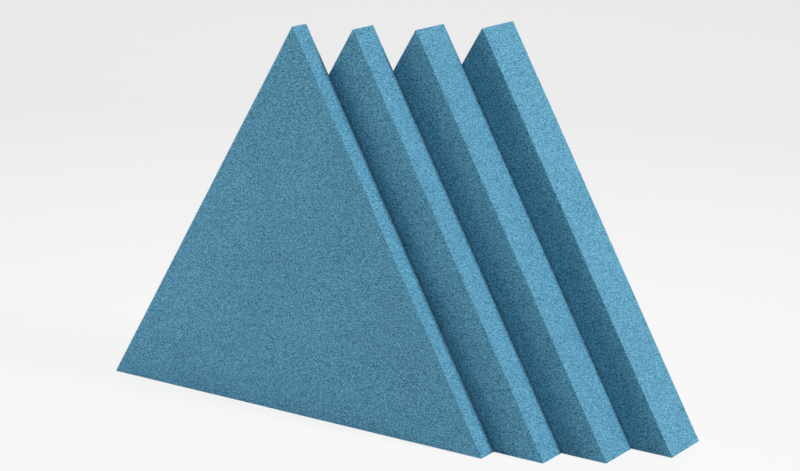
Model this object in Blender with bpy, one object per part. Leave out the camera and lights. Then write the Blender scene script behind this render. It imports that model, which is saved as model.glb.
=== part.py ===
"""Set of four triangular acoustic wall panels of graded depth, standing in a fanned row.

Each panel is upholstered on a wooden frame. Three mitred rails make the triangle, a plywood
block fills each inside corner, and a slab of fibre wool fills the middle. A cloth cover wraps
the front and the sides and turns in over the back as a hem. A thin cloth closes the back, and
a pot magnet is screwed into each corner block to hang the panel.

Sizes are in metres. +Z is up, the fronts face -Y, and the origin is on the surface that the
set stands on, under the middle of the set. Each panel is modelled in its own frame, with its
origin under the middle of its front face, X along its base and Y from front to back.
"""

import math

import bmesh
import bpy
from mathutils import Matrix, Vector

# Outline and arrangement
SIDE = 0.5774
DEPTHS = (0.030, 0.045, 0.065, 0.075)
FAN_STEPS = (0.069, 0.062, 0.0555)
STACK_GAP = 0.0003
FIT = 0.0003

# Cloth cover: tips are the three upright corners of the outline, arrises its front and back edges
COVER_CLOTH = 0.001
TIP_RADIUS = 0.0014
ARRIS_RADIUS = 0.0012
HEM = 0.025
HEM_TIP_RADIUS = 0.004

# Cloth over the back, tucked under the hem and cut off square across each corner block
BACK_CLOTH = 0.0005
BACK_CLOTH_TUCK = 0.015
BACK_CLOTH_LAP = 0.014

# Frame
RAIL_WIDTH = 0.018
RAIL_TIP_RADIUS = 0.0006
RAIL_ARRIS_RADIUS = 0.0004
BLOCK_REACH = 0.095
BLOCK_THICKNESS = 0.015

# Pot magnet and its countersunk screw
MAGNET_FROM_TIP = 0.094
MAGNET_RADIUS = 0.0125
MAGNET_THICKNESS = 0.006
MAGNET_CHAMFER = 0.0004
CUP_WALL = 0.0015
CUP_GROOVE = 0.0006
CUP_GROOVE_DEPTH = 0.0005
SCREW_RADIUS = 0.002
SCREW_HEAD_RADIUS = 0.004
SCREW_LENGTH = 0.014
SCREW_SUNK = 0.0003

# Fineness of the round stretches
TIP_STEPS = 6
ARRIS_STEPS = 3
MAGNET_STEPS = 24
SCREW_STEPS = 16
CUT_MARGIN = 0.01

# What follows from the sizes above
HEIGHT = SIDE * math.sqrt(3) / 2
FRAME_INSET = COVER_CLOTH + FIT
CORE_INSET = FRAME_INSET + RAIL_WIDTH + FIT
CORNER_TURNS = {"left": 240, "right": 120, "top": 0}


def clear_scene():
    for old in list(bpy.data.objects):
        bpy.data.objects.remove(old)


def make_material(name, colour, roughness, metallic=0.0):
    material = bpy.data.materials.new(name)
    material.use_nodes = True
    shader = material.node_tree.nodes["Principled BSDF"]
    shader.inputs["Base Color"].default_value = (*colour, 1.0)
    shader.inputs["Roughness"].default_value = roughness
    shader.inputs["Metallic"].default_value = metallic
    return material


def make_object(name, bm, parent, material=None):
    """Turns a bmesh into an object under its panel's empty, shaded smooth but for its edges."""
    mesh = bpy.data.meshes.new(name)
    bm.to_mesh(mesh)
    bm.free()
    mesh.shade_smooth()
    mesh.set_sharp_from_angle(angle=math.radians(35))
    made = bpy.data.objects.new(name, mesh)
    bpy.context.scene.collection.objects.link(made)
    made.parent = parent
    if material:
        mesh.materials.append(material)
    return made


def make_cutter(name, bm, parent):
    cutter = make_object(name, bm, parent)
    cutter.hide_render = True
    cutter.display_type = "WIRE"
    return cutter


def cut(target, cutter):
    modifier = target.modifiers.new("cut_" + cutter.name, "BOOLEAN")
    modifier.operation = "DIFFERENCE"
    modifier.object = cutter


def corner_direction(corner):
    """Unit vector from the middle of the outline to one of its tips."""
    turn = Matrix.Rotation(math.radians(CORNER_TURNS[corner]), 4, "Y")
    return turn @ Vector((0, 0, 1))


def corner_tip(corner, inset):
    """A tip of the outline, once every side has moved in by inset."""
    middle = Vector((0, 0, HEIGHT / 3))
    return middle + corner_direction(corner) * (SIDE / math.sqrt(3) - 2 * inset)


def runs_front_to_back(edge):
    along = (edge.verts[0].co - edge.verts[1].co).normalized()
    return abs(along.y) > 0.999


def triangle_slab(inset, front, back, tip_radius=0.0, arris_radius=0.0):
    """Upright triangular slab between two depths, with its tips and arrises rounded."""
    bm = bmesh.new()
    outline = [bm.verts.new(corner_tip(c, inset) + Vector((0, front, 0))) for c in CORNER_TURNS]
    extruded = bmesh.ops.extrude_face_region(bm, geom=[bm.faces.new(outline)])
    moved = [item for item in extruded["geom"] if isinstance(item, bmesh.types.BMVert)]
    bmesh.ops.translate(bm, verts=moved, vec=(0, back - front, 0))
    bmesh.ops.recalc_face_normals(bm, faces=bm.faces)
    if tip_radius > 0:
        # An arc between sides that meet at 60 degrees starts radius x root 3 from the tip.
        tips = [edge for edge in bm.edges if runs_front_to_back(edge)]
        bmesh.ops.bevel(
            bm,
            geom=tips,
            offset=tip_radius * math.sqrt(3),
            offset_type="OFFSET",
            segments=TIP_STEPS,
            profile=0.5,
            affect="EDGES",
        )
    if arris_radius > 0:
        arrises = [edge for edge in bm.edges if not runs_front_to_back(edge)]
        bmesh.ops.bevel(
            bm,
            geom=arrises,
            offset=arris_radius,
            offset_type="OFFSET",
            segments=ARRIS_STEPS,
            profile=0.5,
            affect="EDGES",
        )
    return bm


def saw_off(bm, point, direction):
    """Cuts away what lies beyond a plane, on the side that direction points to, and closes it."""
    everything = [*bm.verts, *bm.edges, *bm.faces]
    sawn = bmesh.ops.bisect_plane(
        bm, geom=everything, plane_co=point, plane_no=direction, clear_outer=True
    )
    rim = [item for item in sawn["geom_cut"] if isinstance(item, bmesh.types.BMEdge)]
    bmesh.ops.edgeloop_fill(bm, edges=rim)
    bmesh.ops.recalc_face_normals(bm, faces=bm.faces)


def turned(profile, steps, closed=False):
    """Turns a line of (radius, y) points about the Y axis. A closed one leaves a hole."""
    bm = bmesh.new()
    points = [bm.verts.new((radius, y, 0)) for radius, y in profile]
    follows = points[1:] + points[:1] if closed else points[1:]
    lines = [bm.edges.new(pair) for pair in zip(points, follows)]
    bmesh.ops.spin(
        bm,
        geom=points + lines,
        cent=(0, 0, 0),
        axis=(0, 1, 0),
        angle=math.tau,
        steps=steps,
    )
    bmesh.ops.remove_doubles(bm, verts=bm.verts, dist=1e-6)
    bmesh.ops.recalc_face_normals(bm, faces=bm.faces)
    return bm


class Levels:
    """How far behind the front face each layer of one panel starts and ends."""

    def __init__(self, depth):
        self.back = depth
        self.frame_front = FRAME_INSET
        self.cloth_back = depth - COVER_CLOTH - FIT
        self.cloth_front = self.cloth_back - BACK_CLOTH
        self.frame_back = self.cloth_front - FIT
        self.block_front = self.frame_back - BLOCK_THICKNESS


def add_cover(name, levels, parent, material):
    """One piece of cloth: a front, three sides and a hem, hollow behind and open at the back."""
    cover = make_object(
        name, triangle_slab(0, 0, levels.back, TIP_RADIUS, ARRIS_RADIUS), parent, material
    )
    hollow = triangle_slab(
        COVER_CLOTH,
        COVER_CLOTH,
        levels.back - COVER_CLOTH,
        TIP_RADIUS - COVER_CLOTH,
        ARRIS_RADIUS - COVER_CLOTH,
    )
    opening = triangle_slab(
        HEM, levels.back - 2 * COVER_CLOTH, levels.back + CUT_MARGIN, HEM_TIP_RADIUS
    )
    cut(cover, make_cutter(name + "_hollow", hollow, parent))
    cut(cover, make_cutter(name + "_opening", opening, parent))


def add_rail(name, levels, ends, parent, material):
    """One mitred rail between two corners, its tips and arrises eased to suit the cloth."""
    rail = triangle_slab(
        FRAME_INSET,
        levels.frame_front,
        levels.frame_back,
        RAIL_TIP_RADIUS,
        RAIL_ARRIS_RADIUS,
    )
    start, end = (corner_tip(corner, FRAME_INSET) for corner in ends)
    along = (end - start).normalized()
    inward = Vector((0, 0, HEIGHT / 3)) - (start + end) / 2
    inward.normalize()
    saw_off(rail, start + inward * RAIL_WIDTH, inward)
    for tip, away in ((start, -along), (end, along)):
        # A mitre halves the 60 degree corner, so it leans 30 degrees from the rail.
        mitre = away * math.sin(math.radians(30)) + inward * math.cos(math.radians(30))
        saw_off(rail, tip - mitre * FIT / 2, mitre)
    make_object(name, rail, parent, material)


def add_block(name, levels, corner, parent, material):
    """Corner block, glued between two rails and bored for the magnet and its screw."""
    block = triangle_slab(CORE_INSET, levels.block_front, levels.frame_back)
    direction = corner_direction(corner)
    saw_off(block, corner_tip(corner, CORE_INSET) - direction * BLOCK_REACH, -direction)
    seat = MAGNET_RADIUS + FIT
    pilot = SCREW_RADIUS + FIT
    bore = turned(
        (
            (0, CUT_MARGIN),
            (seat, CUT_MARGIN),
            (seat, -MAGNET_THICKNESS - FIT),
            (pilot, -MAGNET_THICKNESS - FIT),
            (pilot, -BLOCK_THICKNESS - CUT_MARGIN),
            (0, -BLOCK_THICKNESS - CUT_MARGIN),
        ),
        MAGNET_STEPS,
    )
    cutter = make_cutter(name + "_bore", bore, parent)
    cutter.location = magnet_place(levels, corner)
    cut(make_object(name, block, parent, material), cutter)


def add_core(name, levels, parent, material):
    """Slab of fibre wool between the rails, notched at the back round each corner block."""
    core = make_object(
        name,
        triangle_slab(CORE_INSET, levels.frame_front, levels.frame_back),
        parent,
        material,
    )
    for corner in CORNER_TURNS:
        notch = triangle_slab(
            CORE_INSET - CUT_MARGIN, levels.block_front - FIT, levels.frame_back + CUT_MARGIN
        )
        direction = corner_direction(corner)
        reach = BLOCK_REACH + FIT
        saw_off(notch, corner_tip(corner, CORE_INSET) - direction * reach, -direction)
        cut(core, make_cutter(f"{name}_notch_{corner}", notch, parent))


def add_back_cloth(name, levels, parent, material):
    """Thin cloth over the back, under the hem, with each corner cut off across its block."""
    cloth = triangle_slab(HEM - BACK_CLOTH_TUCK, levels.cloth_front, levels.cloth_back)
    for corner in CORNER_TURNS:
        direction = corner_direction(corner)
        reach = BLOCK_REACH - BACK_CLOTH_LAP
        saw_off(cloth, corner_tip(corner, CORE_INSET) - direction * reach, direction)
    make_object(name, cloth, parent, material)


def magnet_place(levels, corner):
    """Middle of a magnet's outer face, which is flush with the back of its block."""
    place = corner_tip(corner, 0) - corner_direction(corner) * MAGNET_FROM_TIP
    return place + Vector((0, levels.frame_back, 0))


def add_magnet(name, levels, corner, parent, material):
    """Steel cup round a ring magnet, with a groove between the two and a countersunk hole."""
    hole = SCREW_RADIUS + FIT
    countersink = SCREW_HEAD_RADIUS + SCREW_SUNK + FIT * math.sqrt(2)
    chamfer = MAGNET_RADIUS - MAGNET_CHAMFER
    cup = MAGNET_RADIUS - CUP_WALL
    magnet = turned(
        (
            (hole, -MAGNET_THICKNESS),
            (chamfer, -MAGNET_THICKNESS),
            (MAGNET_RADIUS, -MAGNET_THICKNESS + MAGNET_CHAMFER),
            (MAGNET_RADIUS, -MAGNET_CHAMFER),
            (chamfer, 0),
            (cup, 0),
            (cup, -CUP_GROOVE_DEPTH),
            (cup - CUP_GROOVE, -CUP_GROOVE_DEPTH),
            (cup - CUP_GROOVE, 0),
            (countersink, 0),
            (hole, hole - countersink),
        ),
        MAGNET_STEPS,
        closed=True,
    )
    make_object(name, magnet, parent, material).location = magnet_place(levels, corner)


def add_screw(name, levels, corner, parent, material):
    """Countersunk wood screw that holds a magnet down, its head just below the magnet's face."""
    cone = SCREW_HEAD_RADIUS - SCREW_RADIUS
    screw = turned(
        (
            (0, -SCREW_SUNK),
            (SCREW_HEAD_RADIUS, -SCREW_SUNK),
            (SCREW_RADIUS, -SCREW_SUNK - cone),
            (SCREW_RADIUS, SCREW_RADIUS - SCREW_LENGTH),
            (0, -SCREW_LENGTH),
        ),
        SCREW_STEPS,
    )
    make_object(name, screw, parent, material).location = magnet_place(levels, corner)


def add_panel(number, place, depth, materials):
    """One whole panel. Its empty is on the line that the panel slides along."""
    name = f"panel_{number}"
    panel = bpy.data.objects.new(name, None)
    bpy.context.scene.collection.objects.link(panel)
    panel.location = place
    levels = Levels(depth)
    rails = {"base": ("left", "right"), "right": ("right", "top"), "left": ("top", "left")}
    add_cover(name + "_cover", levels, panel, materials["cover_cloth"])
    add_core(name + "_core", levels, panel, materials["core_wool"])
    add_back_cloth(name + "_back_cloth", levels, panel, materials["back_cloth"])
    for side, ends in rails.items():
        add_rail(f"{name}_rail_{side}", levels, ends, panel, materials["rail_wood"])
    for corner in CORNER_TURNS:
        add_block(f"{name}_block_{corner}", levels, corner, panel, materials["block_wood"])
        add_magnet(f"{name}_magnet_{corner}", levels, corner, panel, materials["magnet_steel"])
        add_screw(f"{name}_screw_{corner}", levels, corner, panel, materials["screw_steel"])


def add_set():
    """All four panels, each behind the last and slid along its face by its own step."""
    materials = {
        "cover_cloth": make_material("cover_cloth", (0.105, 0.325, 0.47), 0.95),
        "core_wool": make_material("core_wool", (0.62, 0.56, 0.40), 1.0),
        "back_cloth": make_material("back_cloth", (0.02, 0.02, 0.022), 0.95),
        "rail_wood": make_material("rail_wood", (0.62, 0.44, 0.26), 0.75),
        "block_wood": make_material("block_wood", (0.66, 0.50, 0.32), 0.7),
        "magnet_steel": make_material("magnet_steel", (0.62, 0.62, 0.60), 0.3, 1.0),
        "screw_steel": make_material("screw_steel", (0.70, 0.68, 0.60), 0.35, 1.0),
    }
    set_depth = sum(DEPTHS) + STACK_GAP * (len(DEPTHS) - 1)
    place = Vector((-sum(FAN_STEPS) / 2, -set_depth / 2, 0))
    for index, depth in enumerate(DEPTHS):
        add_panel(index + 1, place, depth, materials)
        if index < len(FAN_STEPS):
            place = place + Vector((FAN_STEPS[index], depth + STACK_GAP, 0))


clear_scene()
add_set()
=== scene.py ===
# %% [markdown]
# Four triangular panels that quieten a room stand in a row on a pale floor, each one deeper than
# the one in front of it. Every panel is a flat wooden frame filled with fibre wool and covered in
# one piece of heathered wool cloth, which is turned in behind and stapled.
# This lesson dresses their CAD model. The CAD gives the sizes and places, and Blender adds what
# the eye looks for: woven cloth, folds, staples, wood grain, metal, light and a camera.

import math
import random

import bmesh
import bpy
from mathutils import Matrix, Vector, noise


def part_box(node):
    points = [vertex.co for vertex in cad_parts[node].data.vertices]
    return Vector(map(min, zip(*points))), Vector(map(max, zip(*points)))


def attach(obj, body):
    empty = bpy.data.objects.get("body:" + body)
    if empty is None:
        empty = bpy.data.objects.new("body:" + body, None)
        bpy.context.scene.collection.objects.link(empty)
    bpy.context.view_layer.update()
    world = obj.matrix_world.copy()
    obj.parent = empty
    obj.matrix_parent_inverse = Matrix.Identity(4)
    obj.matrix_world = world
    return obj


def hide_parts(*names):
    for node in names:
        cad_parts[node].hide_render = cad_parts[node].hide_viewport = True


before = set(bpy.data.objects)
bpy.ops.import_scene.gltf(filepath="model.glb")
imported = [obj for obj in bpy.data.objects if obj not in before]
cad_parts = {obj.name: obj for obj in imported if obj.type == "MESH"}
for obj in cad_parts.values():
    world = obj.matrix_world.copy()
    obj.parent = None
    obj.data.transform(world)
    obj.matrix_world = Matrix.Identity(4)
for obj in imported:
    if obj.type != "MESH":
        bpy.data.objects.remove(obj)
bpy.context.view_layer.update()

# %% [markdown]
# The photograph was taken with a long lens from the front right, a little above the panels, and
# the camera was held with a slight tilt. Its place and its angle were solved from the straight
# edges of the panels, because a lens that is too short makes the slanting sides fan out.
# A camera looks along its own -Z, so it is first tipped up to look along +Y and then turned.

# %% Camera
CAMERA_PLACE = Vector((1.50705, -2.32488, 0.94668))
CAMERA_TURN = 32.945
CAMERA_TIP = -14.559
CAMERA_TILT = 1.180
CAMERA_LENS = 101.349

bpy.ops.object.select_all(action="DESELECT")
bpy.ops.object.camera_add()
camera = bpy.context.object
camera.matrix_world = (
    Matrix.Translation(CAMERA_PLACE)
    @ Matrix.Rotation(math.radians(CAMERA_TURN), 4, "Z")
    @ Matrix.Rotation(math.radians(90 + CAMERA_TIP), 4, "X")
    @ Matrix.Rotation(math.radians(CAMERA_TILT), 4, "Z")
)
camera.data.lens = CAMERA_LENS
camera.data.sensor_width = 36
bpy.context.scene.camera = camera
print("camera", round(CAMERA_PLACE.length, 2), "m from the middle of the set")

# %% [markdown]
# Many steps below need a material made of nodes. A node is added by its type, its settings and
# what goes into its sockets, which is either a plain value or the output of another node.
# Writing that once keeps each recipe as short as a list of its nodes.

# %% Helpers for materials
def new_material(name):
    """A material with its tree and its shader."""
    material = bpy.data.materials.new(name)
    material.use_nodes = True
    return material, material.node_tree, material.node_tree.nodes["Principled BSDF"]


def feed(tree, node, inputs):
    """Sets each socket to a value, or joins it to another node's output."""
    for socket, value in inputs.items():
        if isinstance(value, bpy.types.NodeSocket):
            tree.links.new(value, node.inputs[socket])
        else:
            node.inputs[socket].default_value = value


def add_node(tree, kind, inputs=None, **settings):
    """Adds one node and returns it."""
    node = tree.nodes.new(kind)
    for name, value in settings.items():
        setattr(node, name, value)
    feed(tree, node, inputs or {})
    return node


def sum_of(tree, operation, *values):
    """One step of arithmetic on numbers."""
    node = add_node(tree, "ShaderNodeMath", dict(enumerate(values)), operation=operation)
    return node.outputs[0]


def times(tree, first, second, plus=None):
    """Two numbers multiplied, and a third one added."""
    if plus is None:
        return sum_of(tree, "MULTIPLY", first, second)
    return sum_of(tree, "MULTIPLY_ADD", first, second, plus)


def vector_of(tree, operation, first, other=None):
    """One step of arithmetic on vectors. A length is a number, and a vector is scaled by one."""
    inputs = {0: first}
    if other is not None:
        inputs["Scale" if operation == "SCALE" else 1] = other
    outputs = add_node(tree, "ShaderNodeVectorMath", inputs, operation=operation).outputs
    return outputs["Value" if operation == "LENGTH" else 0]


def parts_of(tree, vector):
    """The X, Y and Z of a vector."""
    return add_node(tree, "ShaderNodeSeparateXYZ", {0: vector}).outputs


def object_place(tree):
    """Where a point of the surface is, in the frame that all pieces share."""
    return add_node(tree, "ShaderNodeTexCoord").outputs["Object"]


def mapped(tree, where, move=(0, 0, 0), turn=0.0, scale=(1, 1, 1)):
    """A place that is scaled, turned about Y by degrees and moved."""
    turned = (0.0, math.radians(turn), 0.0)
    inputs = {"Vector": where, "Location": move, "Rotation": turned, "Scale": scale}
    return add_node(tree, "ShaderNodeMapping", inputs).outputs[0]


def noise_of(tree, where, scale, detail, distortion=0.0):
    """Noise at a place, as a number (Fac) and as a colour (Color)."""
    inputs = {"Vector": where, "Scale": scale, "Detail": detail, "Distortion": distortion}
    return add_node(tree, "ShaderNodeTexNoise", inputs).outputs


def grain_of(tree, where, scale, detail, distortion=0.0):
    """Noise as a number, with a scale of its own along X, Y and Z."""
    drawn = mapped(tree, where, scale=scale)
    return noise_of(tree, drawn, 1.0, detail, distortion)["Fac"]


def bump_of(tree, height, strength, distance):
    """Makes a height into a bump, where 1 is as high as the distance."""
    inputs = {"Strength": strength, "Distance": distance, "Height": height}
    return add_node(tree, "ShaderNodeBump", inputs).outputs["Normal"]


def coat(tree, shader, colour, bump, roughness, specular=0.5):
    """Feeds the shader what every material has."""
    inputs = {"Base Color": colour, "Normal": bump, "Roughness": roughness}
    feed(tree, shader, {**inputs, "Specular IOR Level": specular})


def stretch(tree, value, low, high, new_low=0.0, new_high=1.0):
    """Moves a number from one range to another, and holds it there."""
    inputs = {"Value": value, "From Min": low, "From Max": high, "To Min": new_low, "To Max": new_high}
    return add_node(tree, "ShaderNodeMapRange", inputs).outputs["Result"]


def blend_colours(tree, amount, first, second):
    """Mixes two colours, where 0 is the first and 1 the second."""
    inputs = {0: amount, 6: first, 7: second}
    return add_node(tree, "ShaderNodeMix", inputs, data_type="RGBA").outputs[2]


# %% [markdown]
# Studio light. In the photograph the slanting right sides are the brightest, so the key light is
# a tall strip on the right, above the panels and a little behind them. A strip is narrow, so it
# misses the fronts and still lights each side almost up to the next panel, with a crisp edge.
# A long low softbox at the front left lights the fronts, and each panel shades the one behind it.
# The last one stands behind, out of reach of what the camera sees, for the backs.
# Their powers were found by rendering one lamp at a time and adding the pictures up, until the
# sum came as near to the photograph's tones as it would. A lamp is placed by its turn from the
# front (to the right is positive), its rise above the floor and its distance.

# %% Lamps
LAMPS = {
    "key_right": (95, 36, 4.2, (0.6, 2.2), 131.5),
    "low_front_left": (-50, 10, 4.0, (3.2, 1.4), 87.0),
    "behind_left": (-150, 35, 4.2, (2.1, 2.1), 54.0),
}
AIM = Vector((0, 0, 0.2))

for name, (turn, rise, away, (width, height), power) in LAMPS.items():
    turn, rise = math.radians(turn), math.radians(rise)
    flat = math.cos(rise)
    way = Vector((math.sin(turn) * flat, -math.cos(turn) * flat, math.sin(rise)))
    bpy.ops.object.light_add(type="AREA", location=AIM + way * away)
    lamp = bpy.context.object
    lamp.name = name
    lamp.data.shape = "RECTANGLE"
    lamp.data.size, lamp.data.size_y = width, height
    lamp.data.energy = power
    lamp.rotation_euler = (-way).to_track_quat("-Z", "Y").to_euler()
    lamp.visible_camera = False
print("lamps:", len(LAMPS))

# %% [markdown]
# The room. What the lamps don't reach is lit by the world, a plain dome. The camera, a mirror and
# a glass would see that dome too, so for their rays it is the pale grey of a backdrop instead.
# Light Path tells one kind of ray from another, here and in the floor.

# %% World
DOME = 0.12
BACKDROP = 0.84


def seen_rays(tree):
    """1 for the rays that look at a thing, straight or in a mirror or glass, and 0 for light."""
    path = add_node(tree, "ShaderNodeLightPath").outputs
    seen = sum_of(tree, "MAXIMUM", path["Is Camera Ray"], path["Is Glossy Ray"])
    return sum_of(tree, "MAXIMUM", seen, path["Is Transmission Ray"])


world = bpy.data.worlds.new("studio")
world.use_nodes = True
bpy.context.scene.world = world
sky = world.node_tree
sky.nodes.clear()
dome = add_node(sky, "ShaderNodeBackground", {"Color": (1, 1, 1, 1), "Strength": DOME})
grey = (BACKDROP, BACKDROP, BACKDROP, 1)
backdrop = add_node(sky, "ShaderNodeBackground", {"Color": grey, "Strength": 1.0})
halves = {0: seen_rays(sky), 1: dome.outputs[0], 2: backdrop.outputs[0]}
mix = add_node(sky, "ShaderNodeMixShader", halves)
add_node(sky, "ShaderNodeOutputWorld", {"Surface": mix.outputs[0]})

# %% [markdown]
# The floor is a sheet of matt white paper, far larger than the picture, so that no horizon shows.
# As light it is plain white paper. As the camera sees it, most of its brightness is its own, as in
# an overexposed studio picture, and falls off from near white at the panels to the pale grey of
# the backdrop. The rest is the lamps' light, so it keeps the soft shadow of the panels.

# %% Floor
FLOOR_RADIUS = 16.0
FLOOR_DROP = 0.0002
PAPER = 0.80
PAPER_SEEN = 0.12
GLOW_REACH = (0.3, 2.0)
GLOW = (0.85, 0.735)

bpy.ops.object.select_all(action="DESELECT")
bpy.ops.mesh.primitive_circle_add(
    vertices=96, radius=FLOOR_RADIUS, fill_type="NGON", location=(0, 0, -FLOOR_DROP)
)
floor = bpy.context.object
floor.name = "floor"
bpy.ops.object.transform_apply(location=True)
material, tree, shader = new_material("white_paper")
far = vector_of(tree, "LENGTH", object_place(tree))
seen = seen_rays(tree)
own = stretch(tree, far, *GLOW_REACH, *GLOW)
feed(
    tree,
    shader,
    {
        "Base Color": stretch(tree, seen, 0, 1, PAPER, PAPER_SEEN),
        "Emission Color": (1, 1, 1, 1),
        "Emission Strength": times(tree, seen, own),
        "Roughness": 0.9,
        "Specular IOR Level": 0.0,
    },
)
floor.data.materials.append(material)

# %% [markdown]
# Every panel has the same outline, an equilateral triangle that stands on one side. Its middle,
# its corners and the way out through each side are all that the pieces need, and where each panel
# stands and how deep it is comes from the box of its CAD cover.

# %% Shared sizes
SIDE = 0.5774
ROOT_3 = math.sqrt(3)
INSIDE_RADIUS = SIDE * ROOT_3 / 2 / 3
TIP_REACH = SIDE / ROOT_3
MIDDLE = Vector((0, 0, INSIDE_RADIUS))
CORNERS = {
    corner: Vector((math.sin(math.radians(turn)), 0, math.cos(math.radians(turn))))
    for corner, turn in (("left", 240), ("right", 120), ("top", 0))
}
WAYS_OUT = {
    "base": -CORNERS["top"],
    "right": -CORNERS["left"],
    "left": -CORNERS["right"],
}
PANELS = ("panel_1", "panel_2", "panel_3", "panel_4")
PLACES, DEPTHS = {}, {}
for panel in PANELS:
    low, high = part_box(panel + "_cover")
    PLACES[panel] = Vector(((low.x + high.x) / 2, low.y, 0))
    DEPTHS[panel] = high.y - low.y
    print(panel, "is", round(DEPTHS[panel] * 1000, 1), "mm deep")


def corner_point(corner, from_tip, depth=0.0):
    """A point on the line from a sharp corner of the outline to its middle."""
    return MIDDLE + CORNERS[corner] * (TIP_REACH - from_tip) + Vector((0, depth, 0))


def nearest(ways, place):
    """The way, out of several, that a place lies furthest along, seen from the middle."""
    return max(ways.values(), key=place.dot)


def sideways(way):
    """The way at a right angle to another one, in the plane of the panel."""
    return Vector((way.z, 0, -way.x))


# %% [markdown]
# Modelling by hand means: select something, then press a key. In a script the selecting is the
# hard half, because there is no mouse, so these helpers choose vertices, edges or faces by a
# test of their place. The others start a piece with nothing else selected, close it with all its
# faces outwards, shade it, and move its mesh to its panel, so that its object stays unmoved.

# %% Helpers for modelling
def start(name, primitive, **settings):
    """Adds a primitive, and opens it in edit mode."""
    bpy.ops.object.select_all(action="DESELECT")
    primitive(**settings)
    piece = bpy.context.object
    piece.name = piece.data.name = name
    bpy.ops.object.transform_apply(location=True, rotation=True, scale=True)
    bpy.ops.object.mode_set(mode="EDIT")
    bpy.ops.mesh.select_all(action="DESELECT")
    return piece


def pick_all():
    """Selects all of a piece."""
    bpy.ops.mesh.select_all(action="SELECT")


def start_triangle(name, reach, depth, cuts, turn=0.0):
    """Starts with a flat triangle whose tips are this far from the middle, as a lattice."""
    piece = start(
        name,
        bpy.ops.mesh.primitive_circle_add,
        vertices=3,
        radius=reach,
        fill_type="NGON",
        location=MIDDLE + Vector((0, depth, 0)),
        rotation=(math.pi / 2, 0, turn),
    )
    pick_all()
    bpy.ops.mesh.subdivide(number_cuts=cuts)
    return piece


def start_turned(name, sides, radius, length, front):
    """Starts with a cylinder on the Y axis whose front end is at this depth."""
    return start(
        name,
        bpy.ops.mesh.primitive_cylinder_add,
        vertices=sides,
        radius=radius,
        depth=length,
        location=(0, front, 0),
        rotation=(-math.pi / 2, 0, 0),
    )


def pick(piece, kind, test):
    """Selects the vertices, edges or faces that pass a test, and nothing else."""
    bpy.ops.mesh.select_mode(type=kind)
    bpy.ops.mesh.select_all(action="DESELECT")
    shape = bmesh.from_edit_mesh(piece.data)
    items = {"VERT": shape.verts, "EDGE": shape.edges, "FACE": shape.faces}[kind]
    found = [item for item in items if test(item)]
    for item in found:
        item.select_set(True)
    bmesh.update_edit_mesh(piece.data)
    return len(found)


def push(x=0.0, y=0.0, z=0.0):
    """Extrudes what is selected and moves it."""
    bpy.ops.mesh.extrude_region_move(TRANSFORM_OT_translate={"value": (x, y, z)})


def bevel(offset, segments, profile=0.5):
    """Rounds the selected edges."""
    bpy.ops.mesh.bevel(
        offset_type="OFFSET", offset=offset, segments=segments, profile=profile, affect="EDGES"
    )


def face_outwards():
    """Selects all faces and turns them outwards."""
    pick_all()
    bpy.ops.mesh.normals_make_consistent(inside=False)


def stop():
    """Leaves edit mode."""
    bpy.ops.object.mode_set(mode="OBJECT")


def only(piece):
    """Makes this the one selected object."""
    bpy.ops.object.select_all(action="DESELECT")
    piece.select_set(True)
    bpy.context.view_layer.objects.active = piece


def add_modifier(piece, kind, **settings):
    """Adds a modifier and applies it."""
    only(piece)
    modifier = piece.modifiers.new(kind.title(), kind)
    for name, value in settings.items():
        setattr(modifier, name, value)
    bpy.ops.object.modifier_apply(modifier=modifier.name)


def shade(piece, degrees, *finishes):
    """Shades it smooth, but for edges sharper than this, and adds its materials."""
    only(piece)
    bpy.ops.object.shade_smooth_by_angle(angle=math.radians(degrees))
    for finish in finishes:
        piece.data.materials.append(finish)


def stand(piece, panel):
    """Moves the mesh of a piece to its panel's place."""
    piece.data.transform(Matrix.Translation(PLACES[panel]))


def move_points(piece, moved):
    """Moves every point of a piece to where a function puts it, all at the same time."""
    places = [moved(vertex) for vertex in piece.data.vertices]
    for vertex, place in zip(piece.data.vertices, places):
        vertex.co = place


def copy_piece(piece, name, matrix):
    """A copy with its own mesh, moved within that mesh."""
    made = piece.copy()
    made.data = piece.data.copy()
    made.name = made.data.name = name
    bpy.context.scene.collection.objects.link(made)
    made.data.transform(matrix)
    return made


def join_pieces(pieces, name):
    """Several loose pieces of one kind in one object."""
    only(pieces[0])
    for piece in pieces[1:]:
        piece.select_set(True)
    bpy.ops.object.join()
    pieces[0].name = pieces[0].data.name = name
    return pieces[0]


def faces_of(piece):
    """How many faces a piece has, for the lines that are printed."""
    return len(piece.data.polygons)


# %% [markdown]
# The cloth is a wool crepe: a darker warp and a paler weft of teal-blue yarn pass over each other
# in small patches of no regular order, so from a distance it is an even blue with a fine light
# and dark speckle. It is woven here in nodes. The UV map is in metres, so dividing it by the
# width of a yarn numbers the crossings, and noise on that number decides which yarn is on top.
# The wool took its dye unevenly, so each yarn's own shade drifts along its length. A yarn's round
# back is half a sine wave: it makes the bump, and it paints shade into the gaps between the yarns.

# %% Cover cloth material
YARN = 0.0006
FLOAT = 2.15
WARP_LIMIT = 0.56
PLY_SLANT = 2.6
DARK_YARN = (0.020, 0.149, 0.300, 1)
PALE_YARN = (0.270, 0.745, 1.0, 1)
FLECK = (0.47, 0.86, 1.0, 1)
FLECK_LIMIT = 0.96
YARNS_APART = 7.77
SHADE_DRIFT = 0.24
WANDER = YARN * 2.6


def shade_of_yarn(tree, number, along, first):
    """A shade from 0 to 1 that is each yarn's own and drifts slowly along it."""
    row = times(tree, number, YARNS_APART, first)
    slow = times(tree, along, SHADE_DRIFT)
    place = add_node(tree, "ShaderNodeCombineXYZ", {"X": row, "Y": slow}).outputs[0]
    return stretch(tree, noise_of(tree, place, 1.0, 2.0)["Fac"], 0.25, 0.75)


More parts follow.
